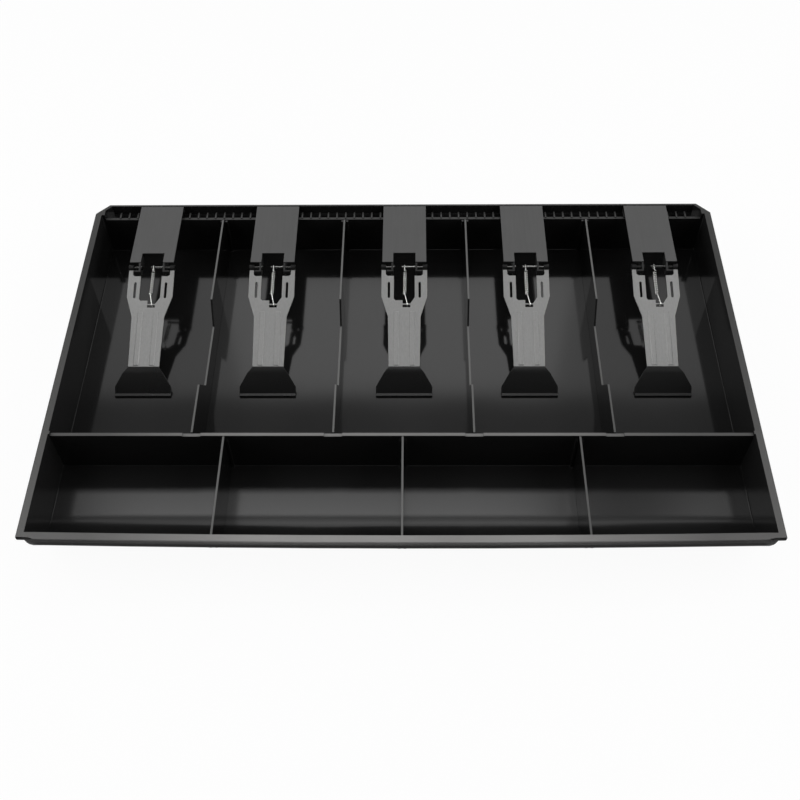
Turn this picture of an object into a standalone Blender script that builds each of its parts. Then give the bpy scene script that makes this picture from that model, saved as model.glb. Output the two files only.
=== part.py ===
"""Cash drawer insert: a moulded tray with five bill compartments and four coin cups, upright
dividers that lift out, and a sprung bill clip in each bill compartment.
Metres, X to the right, Y to the rear, Z up. The origin is the middle of the resting face."""

import math

import bmesh
import bpy
import numpy as np
from mathutils import Matrix, Vector

MM = 0.001

# Tray: outer sizes. The front, with its lip, bows forward between the lip's two ends.
TRAY_WIDTH = 405 * MM
RIM_DEPTH = 250 * MM
TRAY_HEIGHT = 35 * MM
LIP_END_REACH = 1.0 * MM
LIP_BOW = 1.8 * MM
LIP_HEIGHT = 6.6 * MM
LIP_END_INSET = 6.5 * MM
LIP_END_SLANT = 3.5 * MM
LIP_BACK = 2.5 * MM
LIP_SETBACK = 0.25 * MM
LIP_ROUNDING = 0.6 * MM

# Tray: walls, floor and rim.
WALL = 2.0 * MM
FLOOR = 2.0 * MM
SIDE_RIM = 4.15 * MM
FRONT_RIM = 3.5 * MM
REAR_RIM = 1.7 * MM
FLANGE_THICKNESS = 3.0 * MM
FLANGE_ROUNDING = 0.7 * MM
REAR_CORNER_CUT = 8.2 * MM
FRONT_CORNER_SETBACK = 0.2 * MM
INSIDE_ROUNDING = 0.4 * MM
OUTSIDE_ROUNDING = 2.4 * MM
SCOOP_RADIUS = 30.0 * MM
COIN_LENGTH = 62.5 * MM
CROSS_WALL_DROP = 2.0 * MM
CROSS_WALL_END = 0.7 * MM
CUTTER_REACH = 10.0 * MM
MERGE = 1.0 * MM

# Tray: the rack along the rear rim, where the clips are hooked.
RACK_SIDE_RIM = 6.1 * MM
RACK_GROOVE = 6.1 * MM
RACK_CORNER_CUT = 3.8 * MM
RACK_DEPTH = 7.0 * MM
RACK_FLOOR = 1.8 * MM
RACK_INSET = 0.95 * MM
LEDGE_WIDTH = 1.9 * MM
LEDGE_DROP = 4.6 * MM
TOOTH_PITCH = 5.75 * MM
TOOTH_THICKNESS = 1.0 * MM
TOOTH_LENGTH = 4.2 * MM
TOOTH_DROP = 4.0 * MM
TOOTHLESS_END = 6.0 * MM

# Sockets that hold the ends of the dividers.
GUIDE_THICKNESS = 1.2 * MM
GUIDE_REACH = 1.6 * MM
GUIDE_DROP = 5.0 * MM
FRONT_GUIDE_LENGTH = 8.0 * MM
SOCKET_WIDTH = 10.2 * MM
SOCKET_DROP = 0.7 * MM

# Dividers.
DIVIDER_THICKNESS = 1.1 * MM
DIVIDER_GAP = 0.4 * MM
RESTING_GAP = 0.3 * MM
DIVIDER_CORNER_CUT = 2.6 * MM
DIP_REAR_EDGE = 71.8 * MM
DIP_REAR_SLOPE = 9.0 * MM
DIP_FLOOR = 46.2 * MM
DIP_FRONT_SLOPE = 10.9 * MM
DIP_DEPTH = 15.5 * MM

# Where the dividers and clips stand, as shares of the tray's width from its middle.
BILL_DIVIDER_SHARES = (-0.2911, -0.0936, 0.1027, 0.2978)
COIN_DIVIDER_SHARES = (-0.2459, 0.0032, 0.2491)
CLIP_SHARES = (-0.3923, -0.2027, 0.0042, 0.1941, 0.3953)

# Clips: the hinge of the lever.
HINGE_FROM_REAR = 54.2 * MM
HINGE_DROP = 3.3 * MM
LEVER_TILT = math.radians(17.3)

# Clip bracket.
SHEET = 1.1 * MM
BRACKET_WIDTH = 27.8 * MM
BRACKET_REAR_GAP = 0.5 * MM
BRACKET_BEFORE_HINGE = 1.9 * MM
NOTCH_WIDTH = 14.2 * MM
NOTCH_LENGTH = 7.8 * MM
HOOK_GAP = 0.5 * MM
GRIP_WIDTH = 10.0 * MM
GRIP_DROP = 11.0 * MM
GRIP_GAP = 0.3 * MM
EAR_FRONT = 3.6 * MM
EAR_DEPTH = 8.5 * MM
EAR_FRONT_DROP = 2.8 * MM
EAR_CORNER = 2.2 * MM
EAR_FOOT_REACH = 3.0 * MM
EAR_FOOT_HEIGHT = 2.4 * MM

# Clip lever, a pressed sheet measured along its own slope from the hinge.
LEVER_SHEET = 1.2 * MM
ARM_WIDTH = 28.8 * MM
KNUCKLE_GAP_WIDTH = 23.5 * MM
KNUCKLE_RADIUS = 1.9 * MM
KNUCKLE_OVERHANG = 0.15 * MM
SHOULDER_START = 5.1 * MM
SHOULDER_END = 6.1 * MM
SHOULDER_SLANT = 1.2 * MM
ARM_GAP_WIDTH = 13.2 * MM
TAPER_START = 20.3 * MM
TAPER_END = 34.0 * MM
STEM_TOP_WIDTH = 20.4 * MM
STEM_END_WIDTH = 19.1 * MM
STEM_END = 67.9 * MM
STEM_END_SLANT = 0.6 * MM
TONGUE_WIDTH = 13.0 * MM
TONGUE_LENGTH = 3.6 * MM
LEFT_TAB_CORNER = (-5.6 * MM, 23.0 * MM)
LEFT_TAB_SIDE = -1.1 * MM
LEFT_TAB_START = 21.8 * MM
NOTCH_RIGHT_START = 20.9 * MM
NOTCH_RIGHT_SIDE = 3.8 * MM
HOOK_BAR_START = 25.2 * MM
HOOK_BAR_WIDTH = 0.8 * MM
HOOK_HOLE_LENGTH = 1.8 * MM
SLOT_SIDE = 9.7 * MM
SLOT_WIDTH = 1.6 * MM
SLOT_START = 10.3 * MM
SLOT_END = 21.3 * MM
RIB_INNER_SIDE = 3.3 * MM
RIB_WIDTH = 3.2 * MM
RIB_HEIGHT = 0.4 * MM
RIB_START = 30.6 * MM
RIB_END = 66.6 * MM

# Clip foot, a moulded shoe whose flat edge rests on the tray.
FOOT_TOP_WIDTH = 19.4 * MM
FOOT_WIDTH = 34.6 * MM
FOOT_LENGTH = 15.2 * MM
FOOT_FLARE = 10.0 * MM
TOE_HEIGHT = 1.1 * MM
TOE_LENGTH = 1.9 * MM
FOOT_REAR_TOP = 1.6 * MM
FOOT_SHELF = 4.6 * MM
FOOT_REAR_BOTTOM = 2.2 * MM
FOOT_FLAT = 3.2 * MM
FOOT_ROUNDING = 0.45 * MM
FOOT_START_GAP = 0.35 * MM
TONGUE_GAP = 0.3 * MM

# Pins of a clip.
PIN_RADIUS = 1.0 * MM
PIN_HEAD_RADIUS = 1.4 * MM
PIN_HEAD = 0.5 * MM
PIN_END_INSET = 0.1 * MM
PIN_GAP = 0.3 * MM
ANCHOR_RADIUS = 0.8 * MM
ANCHOR_BEHIND_HINGE = 2.6 * MM
ANCHOR_BELOW_HINGE = 2.4 * MM
ANCHOR_OVERHANG = 0.5 * MM
ANCHOR_TIP = 1.5 * MM

# Spring of a clip: one wire with a hook, a straight, the coil, a straight and a hook.
WIRE_RADIUS = 0.28 * MM
COIL_RADIUS = 1.05 * MM
COIL_LENGTH = 15.9 * MM
REAR_STRAIGHT = 0.9 * MM
STRAIGHT_STEP = 0.62 * MM
REAR_HOOK_RADIUS = 1.4 * MM
FRONT_HOOK_RADIUS = 1.46 * MM
FRONT_HOOK_SIDE = 1.6 * MM
HOOK_TURN = math.radians(230)
STEPS_A_TURN = 8
COIL_STEPS = 106
EASE_STEPS = 6
HOOK_STEPS = 8
LEAST_GAP = 0.4 * MM

ROUND_SIDES = 24
SCOOP_STEPS = 14
BOW_STEPS = 8
SLOT_STEPS = 6
ROUNDING_STEPS = 3

FLAT = math.radians(0.05)
ALONG_X = Matrix(((0, 0, 1, 0), (1, 0, 0, 0), (0, 1, 0, 0), (0, 0, 0, 1)))

# Places worked out from the sizes above.
LIP_REACH = LIP_END_REACH + LIP_BOW
HALF_WIDTH = TRAY_WIDTH / 2
LIP_HALF = HALF_WIDTH - LIP_END_INSET - LIP_END_SLANT
REAR = (RIM_DEPTH + LIP_REACH) / 2
FRONT = REAR - RIM_DEPTH
TOP = TRAY_HEIGHT
INSIDE_X = HALF_WIDTH - SIDE_RIM
BODY_X = INSIDE_X + WALL
BILL_DIVIDER_PLACES = [share * TRAY_WIDTH for share in BILL_DIVIDER_SHARES]
COIN_DIVIDER_PLACES = [share * TRAY_WIDTH for share in COIN_DIVIDER_SHARES]
CLIP_PLACES = [share * TRAY_WIDTH for share in CLIP_SHARES]
RACK_WIDTH = TRAY_WIDTH - 2 * RACK_SIDE_RIM
TOOTH_PAIRS = int((RACK_WIDTH / 2 - TOOTHLESS_END) / TOOTH_PITCH)
COIN_FRONT = FRONT + FRONT_RIM
COIN_REAR = COIN_FRONT + COIN_LENGTH
BILL_FRONT = COIN_REAR + WALL
RACK_REAR = REAR - REAR_RIM
RACK_FRONT = RACK_REAR - RACK_GROOVE
BILL_REAR = RACK_FRONT - LEDGE_WIDTH
SCOOP_Y = COIN_FRONT + SCOOP_RADIUS
SCOOP_Z = FLOOR + SCOOP_RADIUS
HINGE_Y = REAR - HINGE_FROM_REAR
HINGE_Z = TOP - HINGE_DROP
ANCHOR_Y = HINGE_Y + ANCHOR_BEHIND_HINGE
ANCHOR_Z = HINGE_Z - ANCHOR_BELOW_HINGE
EAR_INSIDE = NOTCH_WIDTH / 2
EAR_OUTSIDE = EAR_INSIDE + SHEET

for old in list(bpy.data.objects):
    bpy.data.objects.remove(old, do_unlink=True)

parts = bpy.data.collections.new("cash_drawer_insert")
bpy.context.scene.collection.children.link(parts)
cutters = bpy.data.collections.new("cutters")
bpy.context.scene.collection.children.link(cutters)


def make_material(name, colour, roughness, metallic):
    """A Principled material with one colour."""
    material = bpy.data.materials.new(name)
    material.use_nodes = True
    shader = material.node_tree.nodes["Principled BSDF"]
    shader.inputs["Base Color"].default_value = (*colour, 1.0)
    shader.inputs["Roughness"].default_value = roughness
    shader.inputs["Metallic"].default_value = metallic
    return material


def keep_blank(name, mesh):
    """A working shape, hidden from the render, that a Boolean uses up."""
    blank = bpy.data.objects.new(name, mesh)
    blank.hide_render = True
    blank.display_type = "WIRE"
    cutters.objects.link(blank)
    return blank


def make_box(name, x, y, z):
    """A box between the two ends given for each direction."""
    form = bmesh.new()
    middle = Vector((sum(x) / 2, sum(y) / 2, sum(z) / 2))
    size = Vector((x[1] - x[0], y[1] - y[0], z[1] - z[0]))
    place = Matrix.Translation(middle) @ Matrix.Diagonal((*size, 1.0))
    bmesh.ops.create_cube(form, size=1.0, matrix=place)
    mesh = bpy.data.meshes.new(name)
    form.to_mesh(mesh)
    form.free()
    return keep_blank(name, mesh)


def make_rod(name, radius, x, y, z):
    """A round rod along X between the two ends given."""
    form = bmesh.new()
    turn = Matrix.Rotation(math.pi / 2, 4, "Y")
    place = Matrix.Translation((sum(x) / 2, y, z)) @ turn
    bmesh.ops.create_cone(
        form,
        cap_ends=True,
        segments=ROUND_SIDES,
        radius1=radius,
        radius2=radius,
        depth=abs(x[1] - x[0]),
        matrix=place,
    )
    mesh = bpy.data.meshes.new(name)
    form.to_mesh(mesh)
    form.free()
    return keep_blank(name, mesh)


def welded_mesh(curve_object, place):
    """The closed mesh of a curve, with its caps joined to its sides."""
    mesh = bpy.data.meshes.new_from_object(curve_object)
    form = bmesh.new()
    form.from_mesh(mesh)
    bmesh.ops.remove_doubles(form, verts=form.verts, dist=MM / 1000)
    bmesh.ops.dissolve_limit(form, angle_limit=FLAT, verts=form.verts, edges=form.edges)
    bmesh.ops.transform(form, matrix=place, verts=form.verts)
    bmesh.ops.recalc_face_normals(form, faces=form.faces)
    form.to_mesh(mesh)
    form.free()
    return mesh


def make_plate(name, outlines, thickness, place):
    """A flat plate: the first outline is its edge, the others are its holes."""
    curve = bpy.data.curves.new(name, "CURVE")
    curve.dimensions = "2D"
    curve.fill_mode = "BOTH"
    curve.extrude = thickness / 2
    for outline in outlines:
        spline = curve.splines.new("POLY")
        spline.points.add(len(outline) - 1)
        for point, (across, along) in zip(spline.points, outline):
            point.co = (across, along, 0.0, 1.0)
        spline.use_cyclic_u = True
    drawing = keep_blank(name + "_drawing", curve)
    mesh = welded_mesh(drawing, place)
    bpy.data.objects.remove(drawing, do_unlink=True)
    bpy.data.curves.remove(curve)
    return keep_blank(name, mesh)


def bake(body):
    """Turns the object's modifiers into its mesh."""
    graph = bpy.context.evaluated_depsgraph_get()
    mesh = bpy.data.meshes.new_from_object(body.evaluated_get(graph))
    body.modifiers.clear()
    body.data = mesh


def combine(body, tool, how):
    """Joins the tool to the body, or cuts it away, and uses the tool up."""
    step = body.modifiers.new(how.lower(), "BOOLEAN")
    step.operation = how
    step.solver = "EXACT"
    step.object = tool
    bake(body)
    bpy.data.objects.remove(tool, do_unlink=True)


def soften(body, width, steps, sharpest):
    """Rounds every edge that is sharper than the angle given."""
    step = body.modifiers.new("rounding", "BEVEL")
    step.width = width
    step.segments = steps
    step.limit_method = "ANGLE"
    step.angle_limit = math.radians(sharpest)
    bake(body)


def place_part(name, mesh, material, location, rotation=(0, 0, 0), parent=None):
    """The finished piece, with its own mesh name and material."""
    part = bpy.data.objects.new(name, mesh)
    if not mesh.materials:
        mesh.materials.append(material)
    part.location = location
    part.rotation_euler = rotation
    part.parent = parent
    parts.objects.link(part)
    return part


def use_blank(blank):
    """The mesh of a working shape, whose object is removed."""
    mesh = blank.data
    bpy.data.objects.remove(blank, do_unlink=True)
    return mesh


def arc(centre, radius, start, end, steps):
    """Points on an arc, both ends counted, with angles in degrees."""
    points = []
    for step in range(steps + 1):
        angle = math.radians(start + (end - start) * step / steps)
        across = centre[0] + radius * math.cos(angle)
        along = centre[1] + radius * math.sin(angle)
        points.append((across, along))
    return points


def chamfered_rear(half_width, front, rear, cut):
    """A plan outline whose two rear corners are cut off."""
    return [
        (-half_width, front),
        (half_width, front),
        (half_width, rear - cut),
        (half_width - cut, rear),
        (-half_width + cut, rear),
        (-half_width, rear - cut),
    ]


def scooped_profile(front_radius, floor, rear, top):
    """A side profile whose front is a quarter round around the scoop's centre."""
    bottom = arc((SCOOP_Y, SCOOP_Z), front_radius, 270, 180, SCOOP_STEPS)
    front = SCOOP_Y - front_radius
    return [(rear, top), (rear, floor)] + bottom + [(front, top)]


def front_bow(place):
    """How far the front bows forward at a place along the width, nothing past the lip."""
    share = place / LIP_HALF
    return LIP_BOW * max(0, 1 - share * share)


def bow_front(body):
    """Bows the scooped front of a plain shape forward, as the lip does."""
    form = bmesh.new()
    form.from_mesh(body.data)
    for step in range(BOW_STEPS + 1):
        place = LIP_HALF * (2 * step / BOW_STEPS - 1)
        shape = form.verts[:] + form.edges[:] + form.faces[:]
        bmesh.ops.bisect_plane(form, geom=shape, plane_co=(place, 0, 0), plane_no=(1, 0, 0))
    for corner in form.verts:
        if corner.co.y < (SCOOP_Y + COIN_REAR) / 2:
            corner.co.y -= front_bow(corner.co.x)
    form.to_mesh(body.data)
    form.free()


def bowed_edge(setback):
    """The front edge in plan, from left to right: slanted ends and a bow between them."""
    outer = HALF_WIDTH - LIP_END_INSET - setback
    inner = outer - LIP_END_SLANT
    edge = [(-outer, FRONT + setback)]
    for step in range(BOW_STEPS + 1):
        share = 2 * step / BOW_STEPS - 1
        bow = LIP_BOW * (1 - share * share)
        edge.append((inner * share, FRONT + setback - LIP_END_REACH - bow))
    return edge + [(outer, FRONT + setback)]


def make_lip():
    """The skirt that hangs from the front of the rim."""
    outline = bowed_edge(LIP_SETBACK)
    left = outline[0][0]
    outline += [(-left, FRONT + LIP_BACK), (left, FRONT + LIP_BACK)]
    high = TOP - FLANGE_THICKNESS + MERGE
    low = TOP - LIP_HEIGHT
    raised = Matrix.Translation((0, 0, (low + high) / 2))
    lip = make_plate("lip", [outline], high - low, raised)
    soften(lip, LIP_ROUNDING, ROUNDING_STEPS, 40)
    return lip


def guides_at(place, wall, reach, low, high):
    """The two upright ribs of a socket, one each side of a divider."""
    near = DIVIDER_THICKNESS / 2 + DIVIDER_GAP
    far = near + GUIDE_THICKNESS
    across = sorted((wall - MERGE if reach > 0 else wall + MERGE, wall + reach))
    left = make_box("guide", (place - far, place - near), across, (low, high))
    right = make_box("guide", (place + near, place + far), across, (low, high))
    return [left, right]


def make_tray():
    """The moulded tray, one body."""
    inside_rim = TOP - MERGE
    profile = scooped_profile(SCOOP_RADIUS + WALL, 0.0, RACK_FRONT, inside_rim)
    tray = make_plate("tray", [profile], 2 * BODY_X, ALONG_X)
    bow_front(tray)
    soften(tray, OUTSIDE_ROUNDING, ROUNDING_STEPS, 60)

    corner_y = FRONT + FRONT_CORNER_SETBACK
    rim = chamfered_rear(HALF_WIDTH, corner_y, REAR, REAR_CORNER_CUT)
    rim = rim[:1] + bowed_edge(0.0) + rim[1:]
    raised = Matrix.Translation((0, 0, TOP - FLANGE_THICKNESS / 2))
    flange = make_plate("flange", [rim], FLANGE_THICKNESS, raised)
    soften(flange, FLANGE_ROUNDING, ROUNDING_STEPS, 40)
    combine(tray, flange, "UNION")

    block_low = TOP - RACK_DEPTH - RACK_FLOOR
    block_high = TOP - FLANGE_THICKNESS + MERGE
    rack_x = HALF_WIDTH - RACK_INSET
    rack_cut = REAR_CORNER_CUT - RACK_INSET * (2 - math.sqrt(2))
    rack = chamfered_rear(rack_x, BILL_REAR - MERGE, REAR - RACK_INSET, rack_cut)
    raised = Matrix.Translation((0, 0, (block_low + block_high) / 2))
    block = make_plate("rack", [rack], block_high - block_low, raised)
    combine(tray, block, "UNION")
    combine(tray, make_lip(), "UNION")

    above = TOP + CUTTER_REACH
    sides = (-INSIDE_X, INSIDE_X)
    bills = make_box("bills", sides, (BILL_FRONT, BILL_REAR), (FLOOR, above))
    soften(bills, INSIDE_ROUNDING, ROUNDING_STEPS, 40)
    combine(tray, bills, "DIFFERENCE")

    profile = scooped_profile(SCOOP_RADIUS, FLOOR, COIN_REAR, above)
    coins = make_plate("coins", [profile], 2 * INSIDE_X, ALONG_X)
    bow_front(coins)
    soften(coins, INSIDE_ROUNDING, ROUNDING_STEPS, 60)
    combine(tray, coins, "DIFFERENCE")

    groove = chamfered_rear(RACK_WIDTH / 2, RACK_FRONT, RACK_REAR, RACK_CORNER_CUT)
    raised = Matrix.Translation((0, 0, TOP - RACK_DEPTH + CUTTER_REACH))
    channel = make_plate("channel", [groove], 2 * CUTTER_REACH, raised)
    combine(tray, channel, "DIFFERENCE")

    ledge_cut = (BILL_REAR - MERGE, RACK_FRONT + MERGE)
    ledge_z = (TOP - LEDGE_DROP, above)
    ledge_x = (-RACK_WIDTH / 2, RACK_WIDTH / 2)
    combine(tray, make_box("ledge", ledge_x, ledge_cut, ledge_z), "DIFFERENCE")

    wall_y = (COIN_REAR - MERGE, BILL_FRONT + MERGE)
    wall_z = (TOP - CROSS_WALL_DROP, above)
    wall_x = (-INSIDE_X + CROSS_WALL_END, INSIDE_X - CROSS_WALL_END)
    combine(tray, make_box("wall_top", wall_x, wall_y, wall_z), "DIFFERENCE")
    for place in BILL_DIVIDER_PLACES:
        socket_x = (place - SOCKET_WIDTH / 2, place + SOCKET_WIDTH / 2)
        socket_z = (TOP - CROSS_WALL_DROP - SOCKET_DROP, above)
        combine(tray, make_box("socket", socket_x, wall_y, socket_z), "DIFFERENCE")

    tooth_y = (RACK_FRONT - MERGE, RACK_FRONT + TOOTH_LENGTH)
    tooth_z = (TOP - RACK_DEPTH - MERGE, TOP - TOOTH_DROP)
    ribs = []
    for step in range(-TOOTH_PAIRS, TOOTH_PAIRS):
        middle = (step + 0.5) * TOOTH_PITCH
        tooth_x = (middle - TOOTH_THICKNESS / 2, middle + TOOTH_THICKNESS / 2)
        ribs.append(make_box("tooth", tooth_x, tooth_y, tooth_z))

    low = FLOOR - MERGE
    high = TOP - GUIDE_DROP
    for place in BILL_DIVIDER_PLACES:
        ribs += guides_at(place, BILL_FRONT, GUIDE_REACH, low, high)
        ribs += guides_at(place, BILL_REAR, -GUIDE_REACH, low, high)
    for place in COIN_DIVIDER_PLACES:
        ribs += guides_at(place, COIN_REAR, -GUIDE_REACH, low, high)
        wall = COIN_FRONT - front_bow(place)
        ribs += guides_at(place, wall, GUIDE_REACH, high - FRONT_GUIDE_LENGTH, high)
    combine(tray, merge_blanks(ribs), "UNION")
    return use_blank(tray)


def merge_blanks(blanks):
    """One working shape that holds several which don't touch each other."""
    form = bmesh.new()
    for blank in blanks:
        form.from_mesh(blank.data)
        bpy.data.objects.remove(blank, do_unlink=True)
    mesh = bpy.data.meshes.new("ribs")
    form.to_mesh(mesh)
    form.free()
    return keep_blank("ribs", mesh)


def make_bill_divider():
    """An upright plate with a lowered middle, drawn from the side."""
    rear = BILL_REAR - DIVIDER_GAP
    front = BILL_FRONT + DIVIDER_GAP
    low = FLOOR + RESTING_GAP
    high = TOP - CROSS_WALL_DROP
    dip_rear = rear - DIP_REAR_EDGE
    dip_front = dip_rear - DIP_REAR_SLOPE - DIP_FLOOR
    dip_low = high - DIP_DEPTH
    outline = [
        (front, high),
        (front, low + DIVIDER_CORNER_CUT),
        (front + DIVIDER_CORNER_CUT, low),
        (rear - DIVIDER_CORNER_CUT, low),
        (rear, low + DIVIDER_CORNER_CUT),
        (rear, high - DIVIDER_CORNER_CUT),
        (rear - DIVIDER_CORNER_CUT, high),
        (dip_rear, high),
        (dip_rear - DIP_REAR_SLOPE, dip_low),
        (dip_front, dip_low),
        (dip_front - DIP_FRONT_SLOPE, high),
    ]
    return use_blank(make_plate("bill_divider", [outline], DIVIDER_THICKNESS, ALONG_X))


def make_coin_divider(place):
    """An upright plate whose front edge follows the scoop at its place."""
    rear = COIN_REAR - DIVIDER_GAP
    low = FLOOR + RESTING_GAP
    high = TOP - CROSS_WALL_DROP
    radius = SCOOP_RADIUS - DIVIDER_GAP
    centre = SCOOP_Y - front_bow(place)
    bottom = arc((centre, SCOOP_Z), radius, 270, 180, SCOOP_STEPS)
    outline = [
        (rear, high),
        (rear, low + DIVIDER_CORNER_CUT),
        (rear - DIVIDER_CORNER_CUT, low),
        (centre + DIVIDER_CORNER_CUT, low),
    ]
    outline += bottom + [(centre - radius, high)]
    return use_blank(make_plate("coin_divider", [outline], DIVIDER_THICKNESS, ALONG_X))


def make_bracket():
    """The folded base plate: a notched sheet, a rear hook, a grip and two ears."""
    side = BRACKET_WIDTH / 2
    rear = RACK_REAR - BRACKET_REAR_GAP
    front = HINGE_Y + BRACKET_BEFORE_HINGE
    notch = front + NOTCH_LENGTH
    outline = [
        (-side, rear),
        (-side, front),
        (-EAR_INSIDE, front),
        (-EAR_INSIDE, notch),
        (EAR_INSIDE, notch),
        (EAR_INSIDE, front),
        (side, front),
        (side, rear),
    ]
    raised = Matrix.Translation((0, 0, TOP - SHEET / 2))
    bracket = make_plate("bracket", [outline], SHEET, raised)

    inside_sheet = TOP - SHEET / 2
    hook_z = (TOP - RACK_DEPTH + HOOK_GAP, inside_sheet)
    hook_y = (rear - SHEET, rear)
    combine(bracket, make_box("hook", (-side, side), hook_y, hook_z), "UNION")

    grip_rear = BILL_REAR - GRIP_GAP
    grip_x = (-GRIP_WIDTH / 2, GRIP_WIDTH / 2)
    grip_y = (grip_rear - SHEET, grip_rear)
    grip_z = (TOP - GRIP_DROP, inside_sheet)
    combine(bracket, make_box("grip", grip_x, grip_y, grip_z), "UNION")

    ear_front = HINGE_Y - EAR_FRONT
    ear_top = TOP - EAR_FRONT_DROP
    ear_low = TOP - EAR_DEPTH
    ear = [
        (notch, inside_sheet),
        (notch, ear_low + EAR_DEPTH / 2),
        (notch - EAR_CORNER, ear_low),
        (ear_front + EAR_CORNER, ear_low),
        (ear_front, ear_low + EAR_CORNER),
        (ear_front, ear_top),
        (front, inside_sheet),
    ]
    foot_y = (ear_front, ear_front + SHEET)
    foot_z = (ear_top - EAR_FOOT_HEIGHT, ear_top)
    for hand in (-1, 1):
        middle = hand * (EAR_INSIDE + EAR_OUTSIDE) / 2
        place = Matrix.Translation((middle, 0, 0)) @ ALONG_X
        combine(bracket, make_plate("ear", [ear], SHEET, place), "UNION")
        foot_x = sorted((hand * (EAR_OUTSIDE - SHEET / 2), hand * (EAR_OUTSIDE + EAR_FOOT_REACH)))
        combine(bracket, make_box("ear_foot", foot_x, foot_y, foot_z), "UNION")

    through = (-EAR_OUTSIDE - SHEET, EAR_OUTSIDE + SHEET)
    hole = make_rod("hole", PIN_RADIUS + PIN_GAP, through, HINGE_Y, HINGE_Z)
    combine(bracket, hole, "DIFFERENCE")
    right_only = (EAR_INSIDE - SHEET, EAR_OUTSIDE + SHEET)
    hole = make_rod("hole", ANCHOR_RADIUS + PIN_GAP, right_only, ANCHOR_Y, ANCHOR_Z)
    combine(bracket, hole, "DIFFERENCE")
    return use_blank(bracket)


def slot_outline(side):
    """A slot with round ends, drawn in the lever's sheet."""
    radius = SLOT_WIDTH / 2
    near = -SLOT_START - radius
    far = -SLOT_END + radius
    near_end = arc((side, near), radius, 0, 180, SLOT_STEPS)
    far_end = arc((side, far), radius, 180, 360, SLOT_STEPS)
    return near_end + far_end


def make_lever():
    """The pressed sheet arm, flat in its own frame with the hinge at its origin."""
    arm = ARM_WIDTH / 2
    knuckle = KNUCKLE_GAP_WIDTH / 2
    gap = ARM_GAP_WIDTH / 2
    stem_top = STEM_TOP_WIDTH / 2
    stem_end = STEM_END_WIDTH / 2
    tongue = TONGUE_WIDTH / 2
    tongue_end = -STEM_END - TONGUE_LENGTH
    outline = [
        (knuckle, 0.0),
        (arm, 0.0),
        (arm, -TAPER_START),
        (stem_top, -TAPER_END),
        (stem_end, STEM_END_SLANT - STEM_END),
        (tongue, -STEM_END),
        (tongue, tongue_end),
        (-tongue, tongue_end),
        (-tongue, -STEM_END),
        (-stem_end, STEM_END_SLANT - STEM_END),
        (-stem_top, -TAPER_END),
        (-arm, -TAPER_START),
        (-arm, 0.0),
        (-knuckle, 0.0),
        (-knuckle, -SHOULDER_START),
        (-knuckle + SHOULDER_SLANT, -SHOULDER_END),
        (-gap, -SHOULDER_END),
        (-gap, -LEFT_TAB_START),
        (LEFT_TAB_CORNER[0], -LEFT_TAB_CORNER[1]),
        (LEFT_TAB_SIDE, -LEFT_TAB_CORNER[1]),
        (LEFT_TAB_SIDE, -HOOK_BAR_START),
        (NOTCH_RIGHT_SIDE, -HOOK_BAR_START),
        (gap, -NOTCH_RIGHT_START),
        (gap, -SHOULDER_END),
        (knuckle - SHOULDER_SLANT, -SHOULDER_END),
        (knuckle, -SHOULDER_START),
    ]
    hole_near = -HOOK_BAR_START - HOOK_BAR_WIDTH
    hole_far = hole_near - HOOK_HOLE_LENGTH
    hook_hole = [
        (LEFT_TAB_SIDE, hole_near),
        (LEFT_TAB_SIDE, hole_far),
        (NOTCH_RIGHT_SIDE, hole_far),
        (NOTCH_RIGHT_SIDE, hole_near),
    ]
    holes = [hook_hole, slot_outline(-SLOT_SIDE), slot_outline(SLOT_SIDE)]
    lever = make_plate("lever", [outline] + holes, LEVER_SHEET, Matrix.Identity(4))

    rib_y = (-RIB_END, -RIB_START)
    rib_z = (0.0, LEVER_SHEET / 2 + RIB_HEIGHT)
    for hand in (-1, 1):
        barrel_ends = (knuckle - KNUCKLE_OVERHANG, arm + KNUCKLE_OVERHANG)
        barrel_x = sorted(hand * end for end in barrel_ends)
        barrel = make_rod("knuckle", KNUCKLE_RADIUS, barrel_x, 0.0, 0.0)
        combine(lever, barrel, "UNION")
        rib_x = sorted((hand * RIB_INNER_SIDE, hand * (RIB_INNER_SIDE + RIB_WIDTH)))
        rib = make_box("rib", rib_x, rib_y, rib_z)
        soften(rib, RIB_HEIGHT * 0.8, 1, 40)
        combine(lever, rib, "UNION")
    through = (-arm - SHEET, arm + SHEET)
    bore = make_rod("bore", PIN_RADIUS + PIN_GAP, through, 0.0, 0.0)
    combine(lever, bore, "DIFFERENCE")
    return use_blank(lever)


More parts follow.
